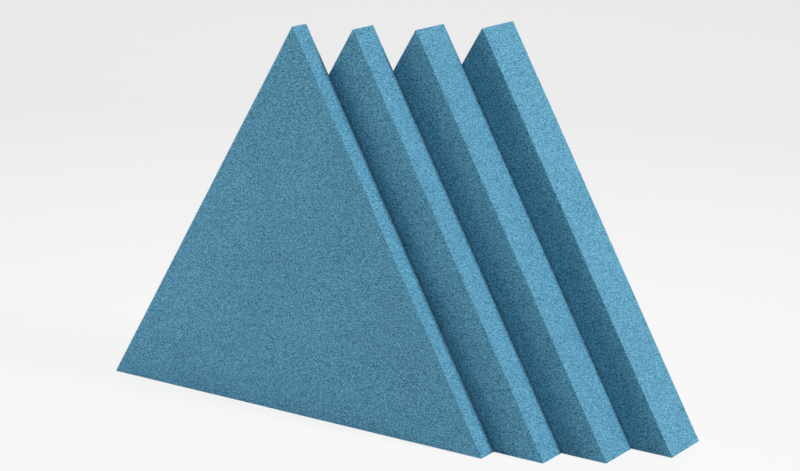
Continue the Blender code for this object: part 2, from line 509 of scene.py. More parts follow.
def twist_of_yarn(tree, across, along):
    """The slanting plies of one yarn, as a wave."""
    slant = times(tree, along, PLY_SLANT, across)
    return sum_of(tree, "SINE", times(tree, slant, math.tau))


def pick_yarn(tree, warp_on_top, weft, warp):
    """What the yarn on top has: the warp's value where it lies on top, otherwise the weft's."""
    inputs = {0: warp_on_top, 2: weft, 3: warp}
    return add_node(tree, "ShaderNodeMix", inputs, data_type="FLOAT").outputs[0]


def weave_cover_cloth():
    """Heathered wool crepe in two blues."""
    material, tree, shader = new_material("teal_wool_crepe")
    flat = add_node(tree, "ShaderNodeUVMap", uv_map="cloth").outputs["UV"]
    # Yarns that wander a little from their straight line
    wander = noise_of(tree, flat, 560.0, 2.0)["Color"]
    wander = vector_of(tree, "SUBTRACT", wander, (0.5, 0.5, 0.5))
    bent = vector_of(tree, "ADD", flat, vector_of(tree, "SCALE", wander, WANDER))
    yarns = vector_of(tree, "SCALE", bent, 1 / YARN)
    crossing = vector_of(tree, "FLOOR", yarns)
    within = parts_of(tree, vector_of(tree, "FRACTION", yarns))
    yarns, number = parts_of(tree, yarns), parts_of(tree, crossing)
    chance = add_node(tree, "ShaderNodeTexWhiteNoise", {"Vector": crossing}, noise_dimensions="2D")
    chances = add_node(tree, "ShaderNodeSeparateColor", {0: chance.outputs["Color"]}).outputs
    # Which yarn is on top at this crossing, and the round backs of both
    patch = noise_of(tree, crossing, 1 / FLOAT, 0.0)["Fac"]
    patch = times(tree, chances["Blue"], 0.12, patch)
    warp_on_top = sum_of(tree, "GREATER_THAN", patch, WARP_LIMIT)
    round_x, round_y = (sum_of(tree, "SINE", times(tree, within[axis], math.pi)) for axis in "XY")
    warp = times(tree, round_x, stretch(tree, round_y, 0, 1, 0.45, 1.0))
    weft = times(tree, round_y, stretch(tree, round_x, 0, 1, 0.45, 1.0))
    height = pick_yarn(tree, warp_on_top, weft, warp)
    twist = pick_yarn(
        tree,
        warp_on_top,
        twist_of_yarn(tree, within["Y"], yarns["X"]),
        twist_of_yarn(tree, within["X"], yarns["Y"]),
    )
    # Shade: the yarn's own, some chance at each crossing, and a few paler flecks
    warp_shade = shade_of_yarn(tree, number["X"], yarns["Y"], 0.0)
    weft_shade = shade_of_yarn(tree, number["Y"], yarns["X"], 311.0)
    tone = pick_yarn(
        tree,
        warp_on_top,
        times(tree, weft_shade, 0.45, 0.46),
        times(tree, warp_shade, 0.35, -0.2),
    )
    tone = times(tree, chances["Red"], 0.2, tone)
    colour = blend_colours(tree, tone, DARK_YARN, PALE_YARN)
    fleck = sum_of(tree, "GREATER_THAN", chances["Green"], FLECK_LIMIT)
    colour = blend_colours(tree, times(tree, fleck, 0.55), colour, FLECK)
    # Painted shade darkens the gaps between the yarns and, slightly, the grooves of the plies;
    # the whole also drifts in tone as wide as a hand
    slow = stretch(tree, noise_of(tree, flat, 9.0, 2.0)["Fac"], 0.3, 0.7, 0.965, 1.035)
    # The yarn's height sets the painted shade: darkest in the gaps, lightest on the yarns' backs
    painted_gap_shade = stretch(tree, height, 0.0, 0.65, 0.44, 1.15)
    shade = times(tree, slow, times(tree, twist, 0.05, painted_gap_shade))
    colour = vector_of(tree, "SCALE", colour, shade)
    # Fibres that stand up from the yarns
    fuzz = noise_of(tree, flat, 3600.0, 2.0)["Fac"]
    relief = times(tree, fuzz, 0.35, height)
    relief = times(tree, twist, 0.08, relief)
    coat(tree, shader, colour, bump_of(tree, relief, 0.6, 0.00035), 0.92, 0.2)
    tint = (0.75, 0.9, 1.0, 1.0)
    feed(tree, shader, {"Sheen Weight": 0.08, "Sheen Roughness": 0.6, "Sheen Tint": tint})
    return material


cover_cloth = weave_cover_cloth()
print(cover_cloth.name, "has", len(cover_cloth.node_tree.nodes), "nodes")

# %% [markdown]
# The cover. On the real panel the cloth is laid face down, the frame is put on it, and the edge is
# pulled over and stapled behind, so front, sides and hem are one continuous surface.
# A cube-like solid cut with booleans would have no even net of points to dent, so the triangle is
# first divided into a lattice of small triangles, its rim is then pulled back ring by ring to
# make the walls, and turned in ring by ring, towards the middle of the back, to make the hem.
# The tips and the long edges are bevelled at the radius that cloth takes over wood.

# %% Cover: front, walls and hem
COVER_CLOTH = 0.001
TIP_RADIUS = 0.0014
ARRIS_RADIUS = 0.0012
HEM = 0.025
FRONT_CUTS = 95
WALL_STEP = 0.006
HEM_RINGS = 8


def is_wall_corner(edge):
    """An edge that runs from front to back at a tip of the outline."""
    one, other = (vertex.co for vertex in edge.verts)
    upright = abs(one.x - other.x) < 1e-6 and abs(one.z - other.z) < 1e-6
    reach = (Vector((one.x, 0, one.z)) - MIDDLE).length
    return upright and reach > TIP_REACH - 1e-4


def is_arris(edge):
    """An edge where a wall meets the front or the hem."""
    if len(edge.link_faces) != 2:
        return False
    one, other = (face.normal for face in edge.link_faces)
    return abs(abs(one.y) - abs(other.y)) > 0.5


def shape_cover(name, depth):
    """The cover's outer surface, one face thick and open behind."""
    cover = start_triangle(name, TIP_REACH, 0.0, FRONT_CUTS)
    pick(cover, "EDGE", lambda edge: edge.is_boundary)
    steps = round(depth / WALL_STEP)
    for _ in range(steps):
        push(y=depth / steps)
    pick(cover, "EDGE", is_wall_corner)
    bevel(TIP_RADIUS * ROOT_3, 6)
    # A finer rim behind, for the dents round the staples
    pick(cover, "EDGE", lambda edge: edge.is_boundary and edge.calc_length() > 0.002)
    bpy.ops.mesh.subdivide(number_cuts=1)
    pick(cover, "EDGE", lambda edge: edge.is_boundary)
    for ring in range(HEM_RINGS):
        push()
        now = INSIDE_RADIUS - HEM * ring / HEM_RINGS
        smaller = (now - HEM / HEM_RINGS) / now
        bpy.ops.transform.resize(
            value=(smaller, 1, smaller), center_override=MIDDLE + Vector((0, depth, 0))
        )
    pick(cover, "EDGE", is_arris)
    bevel(ARRIS_RADIUS, 3)
    face_outwards()
    stop()
    return cover


# %% [markdown]
# The UV map is the flat cloth before it was wrapped: the front stays where it is, and each wall
# and its hem are unfolded outwards from the side that they hang on. The threads then run straight
# from the front over the edge and round to the back, as they do on the real panel. The four cloths
# were cut one after another from the roll, so no two of them have the same speckle.

# %% Cover: flat cloth map
CUT_SPACING = 0.9137


def lay_cloth_map(cover, depth, cuts_before):
    """Writes the unfolded cloth, in metres, as the UV map that the weave reads."""
    shape = bmesh.new()
    shape.from_mesh(cover.data)
    layer = shape.loops.layers.uv.new("cloth")
    for face in shape.faces:
        centre = face.calc_center_median() - MIDDLE
        out = nearest(WAYS_OUT, centre)
        along = sideways(out)
        for loop in face.loops:
            place = loop.vert.co - MIDDLE
            reach = place.dot(out)
            if centre.y > depth / 2:
                reach = 2 * INSIDE_RADIUS - reach
            spread = out * (reach + place.y) + along * place.dot(along)
            loop[layer].uv = (spread.x, spread.z + cuts_before * CUT_SPACING)
    shape.to_mesh(cover.data)
    shape.free()


# %% [markdown]
# Cloth is never as true as the wood under it. It lies a few tenths of a millimetre deeper here
# and there, each staple pulls a dent into the hem, the cut edge of the hem wanders, and at each
# tip the spare cloth is folded under, so that one side of the hem lies over the other along a
# line from the tip towards the middle. These are small moves of the points that exist already.

# %% Cover: staples, folds and unevenness
STAPLE_INSET = 0.0115
STAPLES_PER_SIDE = 10
STAPLE_SPAN = 0.45
STAPLE_STRAY = 0.004
STAPLE_STRAY_OUT = 0.001
STAPLE_TURN = 9
DENT_DEPTH = 0.0005
DENT_RADIUS = 0.010
FOLD_STEP = 0.0008
FOLD_WIDTH = 0.026
FOLD_LIP = 0.0003
FOLD_LIP_WIDTH = 0.005
FOLD_EDGE = 0.0004
HEM_LAYER = 0.0004
RIPPLE = 0.00012
RIPPLE_TURNS = 520
RIPPLE_WIDTH = 0.03
CUT_EDGE = 0.0005
CUT_EDGE_STRAY = 0.0009
UNEVEN = 0.00015
UNEVEN_FINE = 0.00005


def staple_places(seed):
    """Where the staples of a hem go, and how far each is turned from the edge."""
    draw = random.Random(seed)
    places = []
    for out in WAYS_OUT.values():
        along = sideways(out)
        for number in range(STAPLES_PER_SIDE):
            run = STAPLE_SPAN * (number / (STAPLES_PER_SIDE - 1) - 0.5)
            run += draw.uniform(-STAPLE_STRAY, STAPLE_STRAY)
            reach = INSIDE_RADIUS - STAPLE_INSET
            reach += draw.uniform(-STAPLE_STRAY_OUT, STAPLE_STRAY_OUT)
            turn = draw.uniform(-STAPLE_TURN, STAPLE_TURN)
            places.append((MIDDLE + out * reach + along * run, along, turn))
    return places


def smooth_fall(distance, reach):
    """1 at no distance, easing to 0 at reach."""
    share = min(max(1 - distance / reach, 0.0), 1.0)
    return share * share * (3 - 2 * share)


def pull_cloth(cover, depth, staples, seed):
    """Moves the cover's points as staples, folds and the wool under it would."""
    drift = Vector((seed * 3.1, seed * 1.7, seed * 2.3))

    def pulled(vertex):
        place = vertex.co.copy()
        sink = UNEVEN * (1 + noise.noise(place * 13 + drift))
        sink += UNEVEN_FINE * (1 + noise.noise(place * 55 + drift))
        move = vertex.normal * -sink
        if place.y > depth - HEM_LAYER:
            in_face = Vector((place.x, 0, place.z))
            from_middle = in_face - MIDDLE
            out = nearest(WAYS_OUT, from_middle)
            away = min((in_face - spot).length for spot, _, _ in staples)
            move.y -= DENT_DEPTH * smooth_fall(away, DENT_RADIUS)
            across = from_middle.dot(sideways(nearest(CORNERS, from_middle)))
            if across > FOLD_EDGE:
                move.y -= FOLD_STEP * smooth_fall(across - FOLD_EDGE, FOLD_WIDTH)
            else:
                move.y += FOLD_LIP * smooth_fall(-across, FOLD_LIP_WIDTH)
            ripple = math.sin(across * RIPPLE_TURNS + 2 * noise.noise(place * 30 + drift))
            move.y -= RIPPLE * (1 + ripple) * smooth_fall(abs(across), RIPPLE_WIDTH)
            if INSIDE_RADIUS - from_middle.dot(out) > HEM - CUT_EDGE:
                move += out * CUT_EDGE_STRAY * noise.noise(place * 38 + drift)
        return place + move

    move_points(cover, pulled)


# %% [markdown]
# Now the four covers are made. Solidify gives the surface the thickness of the cloth, inwards, so
# the outside keeps its size. Weighted normals follow the large faces, so the walls stay flat in the
# light and only the narrow round between them turns it.

# %% Cover: four of them
covers, hem_staples = {}, {}
for number, panel in enumerate(PANELS, 1):
    depth = DEPTHS[panel]
    cover = shape_cover(panel + "_cover_cloth", depth)
    lay_cloth_map(cover, depth, number)
    hem_staples[panel] = staple_places(number)
    pull_cloth(cover, depth, hem_staples[panel], number)
    add_modifier(
        cover, "SOLIDIFY", thickness=COVER_CLOTH, offset=-1, use_even_offset=True, use_rim=True
    )
    shade(cover, 40, cover_cloth)
    add_modifier(cover, "WEIGHTED_NORMAL", keep_sharp=True)
    stand(cover, panel)
    covers[panel] = cover
    print(cover.name, faces_of(cover), "faces")

# %% [markdown]
# Staples. A staple that has been driven home shows only its crown, a flat wire about 10 mm long
# with two round shoulders, lying in the dent that it pulls. The legs go down into the rail.
# One is modelled from a cube, by drawing its ends down into legs, and copied along every side.

# %% Staple material
def plate_steel(name, colour, roughness, scratch):
    """Plated steel with fine scratches and dull patches."""
    material, tree, shader = new_material(name)
    where = object_place(tree)
    patches = noise_of(tree, where, 420.0, 4.0)["Fac"]
    lines = grain_of(tree, where, (900.0, 900.0, 5200.0), 2.0)
    base = vector_of(tree, "SCALE", colour, stretch(tree, patches, 0.3, 0.7, 0.86, 1.0))
    rough = stretch(tree, patches, 0.3, 0.75, roughness - 0.06, roughness + 0.1)
    rough = times(tree, lines, 0.16, rough)
    bump = bump_of(tree, lines, scratch, 0.00003)
    coat(tree, shader, base, bump, rough)
    feed(tree, shader, {"Metallic": 1.0})
    return material


staple_wire = plate_steel("galvanised_staple_wire", (0.58, 0.58, 0.57), 0.34, 0.3)

# %% Staple
CROWN_LENGTH = 0.0105
WIRE_WIDTH = 0.0013
WIRE_THICKNESS = 0.0006
LEG_LENGTH = 0.006
CROWN_ROUND = 0.00022


def shape_staple():
    """A driven staple along X, with the top of its crown at y = 0."""
    staple = start("staple", bpy.ops.mesh.primitive_cube_add, size=1.0)
    pick_all()
    bpy.ops.transform.resize(
        value=(CROWN_LENGTH - 2 * WIRE_THICKNESS, WIRE_THICKNESS, WIRE_WIDTH),
        center_override=(0, 0, 0),
    )
    bpy.ops.transform.translate(value=(0, -WIRE_THICKNESS / 2, 0))
    for way in (-1, 1):
        pick(staple, "FACE", lambda face: face.normal.x * way > 0.9)
        push(x=way * WIRE_THICKNESS)
        end = CROWN_LENGTH / 2 - WIRE_THICKNESS
        pick(
            staple,
            "FACE",
            lambda face: face.normal.y < -0.9 and face.calc_center_median().x * way > end,
        )
        push(y=-LEG_LENGTH)
    pick(staple, "EDGE", lambda edge: all(v.co.y > -1e-6 for v in edge.verts))
    bevel(CROWN_ROUND, 2)
    face_outwards()
    stop()
    shade(staple, 50, staple_wire)
    return staple


def place_staples(staple, name, places, level):
    """Copies of the staple at their places on one plane, joined in one object."""
    made = []
    for number, (spot, along, turn) in enumerate(places):
        heading = math.atan2(-along.z, along.x) + math.radians(turn)
        moved = Matrix.Translation(spot + Vector((0, level, 0)))
        turned = Matrix.Rotation(heading, 4, "Y")
        made.append(copy_piece(staple, f"{name}_{number}", moved @ turned))
    return join_pieces(made, name)


staple = shape_staple()
staple_rows = {}
for panel in PANELS:
    level = DEPTHS[panel] - DENT_DEPTH + WIRE_THICKNESS
    row = place_staples(staple, panel + "_hem_staples", hem_staples[panel], level)
    stand(row, panel)
    staple_rows[panel] = row
print("one staple has", faces_of(staple), "faces")

# %% [markdown]
# The staples go to their panel too, because they belong to the cloth that they hold.

# %% Covers and staples join their panels
for panel in PANELS:
    cover = covers[panel]
    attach(cover, panel)
    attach(staple_rows[panel], panel)
    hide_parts(panel + "_cover")

# %% [markdown]
# The wool slab fills the frame and soaks up the sound. It is a board of pressed fibres, cut with
# a knife, so its faces are a little uneven and its edges are slightly crushed. Behind, it is cut
# away round the corner blocks, and it lies about a millimetre below the back of the frame.
# Its front is divided first, then the whole is pushed back, the corners of the back are cut by
# three planes, and only the six-sided middle is pushed back further.

# %% Wool material
def press_wool():
    """Pale yellow fibre wool, matted in all directions."""
    material, tree, shader = new_material("pressed_fibre_wool")
    where = object_place(tree)
    tangle = noise_of(tree, where, 90.0, 3.0, 2.5)
    bent = vector_of(tree, "ADD", where, vector_of(tree, "SCALE", tangle["Color"], 0.012))
    fibres = grain_of(tree, bent, (2600.0, 700.0, 1100.0), 3.0)
    clumps = tangle["Fac"]
    tone = times(tree, clumps, 0.5, times(tree, fibres, 0.6))
    tone = stretch(tree, tone, 0.32, 0.78)
    colour = blend_colours(tree, tone, (0.34, 0.27, 0.13, 1), (0.80, 0.74, 0.56, 1))
    bump = bump_of(tree, times(tree, clumps, 2.0, fibres), 0.8, 0.0012)
    coat(tree, shader, colour, bump, 0.95, 0.1)
    return material


fibre_wool = press_wool()

# %% Wool slab
RAIL_WIDTH = 0.018
FIT = 0.0003
FRAME_FRONT = COVER_CLOTH + FIT
CORE_INSET = FRAME_FRONT + RAIL_WIDTH + FIT
BACK_CLOTH = 0.0005
FRAME_BACK = COVER_CLOTH + FIT + BACK_CLOTH + FIT
BLOCK_REACH = 0.095
BLOCK_THICKNESS = 0.015
WOOL_CUTS = 59
WOOL_BELOW_BACK = 0.0012
CRUSHED_EDGE = 0.0012
WOOL_ROUGH = 0.0004


def shape_wool(name, depth, seed):
    """The slab, in its panel's own frame."""
    reach = 2 * (INSIDE_RADIUS - CORE_INSET)
    notch = depth - FRAME_BACK - BLOCK_THICKNESS - FIT
    wool = start_triangle(name, reach, FRAME_FRONT, WOOL_CUTS)
    pick_all()
    push(y=notch - FRAME_FRONT)
    face_outwards()
    cut_from_tip = 2 * CORE_INSET + BLOCK_REACH + FIT
    for corner, direction in CORNERS.items():
        pick(wool, "FACE", lambda face: face.calc_center_median().y > notch - 1e-5)
        bpy.ops.mesh.bisect(plane_co=corner_point(corner, cut_from_tip), plane_no=direction)
    limit = TIP_REACH - cut_from_tip
    pick(
        wool,
        "FACE",
        lambda face: face.calc_center_median().y > notch - 1e-5
        and all((face.calc_center_median() - MIDDLE).dot(d) < limit for d in CORNERS.values()),
    )
    push(y=depth - FRAME_BACK - WOOL_BELOW_BACK - notch)
    pick(wool, "EDGE", lambda edge: edge.calc_face_angle(0) > math.radians(60))
    bevel(CRUSHED_EDGE, 2, 0.6)
    face_outwards()
    stop()
    drift = Vector((seed * 5.3, 1.9, seed * 4.1))

    def crushed(vertex):
        rough = noise.noise(vertex.co * 24 + drift) + 0.6 * noise.noise(vertex.co * 95 + drift)
        return vertex.co - vertex.normal * WOOL_ROUGH * (1.2 + rough)

    move_points(wool, crushed)
    shade(wool, 50, fibre_wool)
    return wool


for number, panel in enumerate(PANELS, 1):
    wool = shape_wool(panel + "_wool_slab", DEPTHS[panel], number)
    stand(wool, panel)
    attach(wool, panel)
    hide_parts(panel + "_core")
    print(wool.name, faces_of(wool), "faces")

# %% [markdown]
# A thin black cloth closes the back, so that no fibres fall out. It is spunbond: threads of melted
# plastic laid at random and pressed together at small points. It is stapled before the cover is,
# so its edge lies under the hem, and across each corner block it is cut off and stapled down.
# It is pulled by hand, so it sags a little between the rails and draws into shallow waves.

# %% Back cloth material
def press_back_cloth():
    """Black spunbond with its grid of pressed points."""
    material, tree, shader = new_material("black_spunbond")
    flat = object_place(tree)
    turned = mapped(tree, flat, turn=45, scale=(620.0, 1.0, 620.0))
    tile = vector_of(tree, "SUBTRACT", vector_of(tree, "FRACTION", turned), (0.5, 0.5, 0.5))
    away = vector_of(tree, "LENGTH", vector_of(tree, "MULTIPLY", tile, (1, 0, 1)))
    point = stretch(tree, away, 0.22, 0.32)
    threads = noise_of(tree, flat, 1400.0, 3.0, 3.0)["Fac"]
    clouds = noise_of(tree, flat, 60.0, 3.0)["Fac"]
    tone = times(tree, threads, 0.6, times(tree, clouds, 0.5))
    colour = blend_colours(
        tree, stretch(tree, tone, 0.35, 0.8), (0.010, 0.010, 0.011, 1), (0.042, 0.042, 0.045, 1)
    )
    relief = times(tree, threads, 0.5, point)
    rough = stretch(tree, point, 0, 1, 0.45, 0.72)
    coat(tree, shader, colour, bump_of(tree, relief, 0.5, 0.0002), rough)
    feed(tree, shader, {"Sheen Weight": 0.1, "Sheen Roughness": 0.4})
    return material


spunbond = press_back_cloth()

# %% Back cloth
CLOTH_INSET = 0.010
CUT_INSIDE = 0.081
CLOTH_CUT = 2 * CORE_INSET + CUT_INSIDE
CLOTH_CUTS = 89
BLOCK_LAP = 0.014
SAG = 0.0008
SAG_WIDTH = 0.05
WAVE = 0.00035
WAVE_LENGTH = 0.05
WAVE_CREST = 0.012
WAVE_WIDTH = 0.045
WAVE_START = 0.008
TACK_INSET = 0.006
TACK_APART = 0.021
TACK_TURN = 7


def shape_back_cloth(name, depth, seed):
    """The cloth that closes the back of one panel, in the panel's own frame."""
    level = depth - COVER_CLOTH - FIT
    reach = 2 * (INSIDE_RADIUS - CLOTH_INSET)
    cloth = start_triangle(name, reach, level, CLOTH_CUTS, math.pi)
    for corner, direction in CORNERS.items():
        pick_all()
        bpy.ops.mesh.bisect(
            plane_co=corner_point(corner, CLOTH_CUT), plane_no=direction, clear_outer=True
        )
    stop()
    drift = Vector((seed * 2.7, 5.1, seed * 1.3))
    for vertex in cloth.data.vertices:
        from_middle = vertex.co - Vector((0, level, 0)) - MIDDLE
        out = nearest(WAYS_OUT, from_middle)
        inside = INSIDE_RADIUS - from_middle.dot(out) - HEM
        to_corner = min(
            (corner_point(corner, CLOTH_CUT) - MIDDLE).dot(direction) - from_middle.dot(direction)
            for corner, direction in CORNERS.items()
        )
        free = 1 - smooth_fall(max(min(inside, to_corner - BLOCK_LAP), 0.0), SAG_WIDTH)
        along = from_middle.dot(sideways(out))
        pull = math.sin(along * math.tau / WAVE_LENGTH + 3 * noise.noise(vertex.co * 9 + drift))
        pulled = smooth_fall(abs(inside - WAVE_CREST), WAVE_WIDTH)
        pulled *= 1 - smooth_fall(max(inside, 0), WAVE_START)
        wave = noise.noise(vertex.co * 11 + drift)
        vertex.co.y -= SAG * free * (0.75 + 0.5 * wave) + WAVE * pulled * (1 + pull) / 2
    add_modifier(cloth, "SOLIDIFY", thickness=BACK_CLOTH, offset=-1, use_rim=True)
    shade(cloth, 40, spunbond)
    return cloth


def corner_staples(seed):
    """Two staples across each cut corner of the back cloth."""
    draw = random.Random(100 + seed)
    places = []
    for corner, direction in CORNERS.items():
        across = sideways(direction)
        for way in (-1, 1):
            spot = corner_point(corner, CLOTH_CUT + TACK_INSET) + across * way * TACK_APART
            places.append((spot, across, draw.uniform(-TACK_TURN, TACK_TURN)))
    return places


for number, panel in enumerate(PANELS, 1):
    depth = DEPTHS[panel]
    cloth = shape_back_cloth(panel + "_spunbond_back", depth, number)
    tacks = place_staples(
        staple, panel + "_corner_staples", corner_staples(number), depth - COVER_CLOTH
    )
    for piece in (cloth, tacks):
        stand(piece, panel)
        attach(piece, panel)
    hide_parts(panel + "_back_cloth")
bpy.data.objects.remove(staple)

# %% [markdown]
# The frame is out of sight behind the cloth, but a panel that is opened or reused shows it. Its
# rails are sawn from softwood. A board's pattern is a cut through the tree's rings, so the rings
# are laid round a line beside the board, the pith, and noise lets them wander. The late wood of
# each ring is narrow, darker and harder. The CAD rails keep their shape and get this finish, with
# a Mapping that turns the pattern, because each rail runs along its own side of the triangle.

# %% Softwood of the rails
RING_WIDTH = 0.0024
PITH_AWAY = 0.022


def saw_softwood(name, turn, shift):
    """Planed pine whose grain runs along one side of the triangle."""
    material, tree, shader = new_material(name)
    centred = mapped(tree, object_place(tree), move=-MIDDLE)
    along = mapped(tree, centred, turn=turn)
    pith = (shift, shift, INSIDE_RADIUS + PITH_AWAY)
    drawn = mapped(tree, along, move=pith, scale=(0.06, 1.0, 1.0))
    wander = vector_of(tree, "SCALE", noise_of(tree, drawn, 26.0, 3.0)["Color"], 0.007)
    rings = vector_of(tree, "MULTIPLY", vector_of(tree, "ADD", drawn, wander), (0, 1, 1))
    from_pith = vector_of(tree, "LENGTH", rings)
    ring = sum_of(tree, "FRACT", sum_of(tree, "DIVIDE", from_pith, RING_WIDTH))
    late = sum_of(tree, "POWER", ring, 3.2)
    fibre = grain_of(tree, along, (60.0, 2200.0, 2200.0), 3.0)
    board = noise_of(tree, drawn, 9.0, 1.0)["Fac"]
    tone = times(tree, fibre, 0.35, times(tree, late, 0.62))
    colour = blend_colours(
        tree, stretch(tree, tone, 0.1, 0.95), (0.72, 0.51, 0.29, 1), (0.40, 0.20, 0.075, 1)
    )
    shade = stretch(tree, board, 0.3, 0.7, 0.88, 1.08)
    colour = vector_of(tree, "SCALE", colour, shade)
    relief = times(tree, late, 0.8, fibre)
    rough = stretch(tree, late, 0, 1, 0.68, 0.5)
    coat(tree, shader, colour, bump_of(tree, relief, 0.45, 0.00018), rough, 0.35)
    return material


RAIL_TURNS = {"base": 0, "right": 120, "left": -120}
for number, panel in enumerate(PANELS, 1):
    for side, turn in RAIL_TURNS.items():
        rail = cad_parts[f"{panel}_rail_{side}"]
        rail.material_slots[0].material = saw_softwood(
            f"{panel}_{side}_pine", turn, 0.013 * number + 0.004 * turn / 120
        )
print("softwood on", len(PANELS) * len(RAIL_TURNS), "rails")

# %% [markdown]
# The corner blocks are birch plywood, the one place where wood shows behind. Its face is a veneer
# peeled off a turning log, so the rings come out as wide, calm waves with short dark pores. Its
# edge shows the plies, every second one with its grain end on, and the dark glue between them.
# Which of the two is seen follows from the height in the board, so one recipe serves all faces.

# %% Plywood of the corner blocks
PLIES = 11
SKIN = 0.00001


def press_plywood(name, turn, back):
    """Birch plywood whose face grain runs across a corner and whose back is at this depth."""
    material, tree, shader = new_material(name)
    centred = mapped(tree, object_place(tree), move=(0.0, -back - SKIN, -MIDDLE.z))
    along = mapped(tree, centred, turn=turn)
    deep = parts_of(tree, along)["Y"]
    ply = sum_of(tree, "DIVIDE", deep, -(BLOCK_THICKNESS + 2 * SKIN) / PLIES)
    number = sum_of(tree, "FLOOR", ply)
    crossed = sum_of(tree, "MODULO", number, 2.0)
    glue = sum_of(tree, "ABSOLUTE", sum_of(tree, "SUBTRACT", sum_of(tree, "FRACT", ply), 0.5))
    glue = stretch(tree, glue, 0.45, 0.49)
    glue = times(tree, glue, sum_of(tree, "GREATER_THAN", ply, 0.3))
    glue = times(tree, glue, sum_of(tree, "LESS_THAN", ply, PLIES - 0.3))
    figure = grain_of(tree, along, (9.0, 30.0, 55.0), 1.0, 0.6)
    waves = sum_of(tree, "SINE", times(tree, figure, 46.0))
    waves = stretch(tree, waves, -1, 1)
    pores = grain_of(tree, along, (260.0, 900.0, 2600.0), 2.0)
    short = stretch(tree, pores, 0.60, 0.70)
    tone = times(tree, waves, 0.45, times(tree, pores, 0.5))
    colour = blend_colours(
        tree, stretch(tree, tone, 0.1, 0.9), (0.74, 0.56, 0.36, 1), (0.56, 0.38, 0.21, 1)
    )
    for amount, darker in (
        (times(tree, short, 0.35), (0.30, 0.17, 0.08, 1)),
        (times(tree, crossed, 0.4), (0.38, 0.24, 0.12, 1)),
        (glue, (0.10, 0.045, 0.02, 1)),
    ):
        colour = blend_colours(tree, amount, colour, darker)
    relief = sum_of(tree, "SUBTRACT", pores, short)
    rough = stretch(tree, pores, 0.3, 0.7, 0.5, 0.64)
    coat(tree, shader, colour, bump_of(tree, relief, 0.35, 0.0001), rough, 0.35)
    return material


BLOCK_TURNS = {"top": 0, "right": -120, "left": 120}
for panel in PANELS:
    back = PLACES[panel].y + DEPTHS[panel] - FRAME_BACK
    for corner, turn in BLOCK_TURNS.items():
        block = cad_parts[f"{panel}_block_{corner}"]
        block.material_slots[0].material = press_plywood(f"{panel}_{corner}_birch", turn, back)
print("plywood of", PLIES, "plies on", len(PANELS) * len(BLOCK_TURNS), "blocks")

# %% [markdown]
# The pot magnets that hold a panel to steel plates on the wall. A pot magnet is a turned steel cup
# with a hard, brittle ring magnet glued into it, so on its face there are three finishes: the
# cup's bright rim, a thin sunk line of dark glue, and the magnet's own dull nickel. The screw hole
# is countersunk. It is drawn outside in, by insets on one face of a cylinder.

# %% Magnet finishes
cup_plating = plate_steel("nickel_plated_cup", (0.66, 0.65, 0.62), 0.24, 0.25)
ring_plating = plate_steel("dull_nickel_ring_magnet", (0.42, 0.42, 0.41), 0.42, 0.4)
screw_plating = plate_steel("yellow_zinc_screw", (0.72, 0.58, 0.32), 0.30, 0.3)


def mix_glue():
    """Dark epoxy, slightly glossy, with small pits."""
    material, tree, shader = new_material("dark_epoxy")
    pits = noise_of(tree, object_place(tree), 1800.0, 2.0)["Fac"]
    bump = bump_of(tree, pits, 0.4, 0.00005)
    tone = stretch(tree, pits, 0.3, 0.7)
    colour = blend_colours(tree, tone, (0.012, 0.012, 0.014, 1), (0.05, 0.05, 0.055, 1))
    coat(tree, shader, colour, bump, 0.38)
    return material


epoxy = mix_glue()

# %% Pot magnet
MAGNET_SIDES = 64
MAGNET_RADIUS = 0.0125
MAGNET_THICKNESS = 0.006
MAGNET_BEVEL = 0.00025
CUP_WALL = 0.0015
GROOVE = 0.0006
GROOVE_DEPTH = 0.0005
GROOVE_SLOPE = 0.00004
RING_RADIUS = MAGNET_RADIUS - CUP_WALL - GROOVE
SINK_RADIUS = 0.00472
HOLE_RADIUS = 0.0023
MAGNET_FROM_TIP = 0.094


def from_axis(place):
    """How far a point of a turned piece is from its axis, which is Y."""
    return math.hypot(place.x, place.z)


def shape_magnet():
    """A pot magnet on the Y axis, with its face at y = 0 and its body in front of that."""
    magnet = start_turned(
        "magnet", MAGNET_SIDES, MAGNET_RADIUS, MAGNET_THICKNESS, -MAGNET_THICKNESS / 2
    )
    pick(magnet, "FACE", lambda face: face.normal.y > 0.9)
    sink = SINK_RADIUS - HOLE_RADIUS
    for inset, rise in (
        (CUP_WALL, 0),
        (GROOVE_SLOPE, -GROOVE_DEPTH),
        (GROOVE - 2 * GROOVE_SLOPE, 0),
        (GROOVE_SLOPE, GROOVE_DEPTH),
        (RING_RADIUS - SINK_RADIUS, 0),
        (sink, -sink),
    ):
        bpy.ops.mesh.inset(thickness=inset)
        bpy.ops.transform.translate(value=(0, rise, 0))
    push(y=-sink)
    pick(magnet, "FACE", lambda face: face.normal.y < -0.9 and len(face.verts) > 8)
    bpy.ops.mesh.inset(thickness=MAGNET_RADIUS - HOLE_RADIUS)
    ends = pick(magnet, "FACE", lambda face: len(face.verts) > 8)
    bpy.ops.mesh.bridge_edge_loops()
    rims = ((MAGNET_RADIUS, 0.0), (MAGNET_RADIUS, -MAGNET_THICKNESS), (SINK_RADIUS, 0.0))
    pick(
        magnet,
        "EDGE",
        lambda edge: any(
            all(abs(from_axis(v.co) - r) < 5e-5 and abs(v.co.y - y) < 5e-5 for v in edge.verts)
            for r, y in rims
        ),
    )
    bevel(MAGNET_BEVEL, 3)
    face_outwards()
    stop()
    shade(magnet, 40, cup_plating, epoxy, ring_plating)
    for face in magnet.data.polygons:
        away = from_axis(face.center)
        if face.center.y > -GROOVE_DEPTH - 1e-5 or away < SINK_RADIUS:
            if away < RING_RADIUS + 1e-5:
                face.material_index = 2
            elif away < MAGNET_RADIUS - CUP_WALL:
                face.material_index = 1
    print("two open ends bridged:", ends == 2, "- the magnet has", faces_of(magnet), "faces")
    return magnet


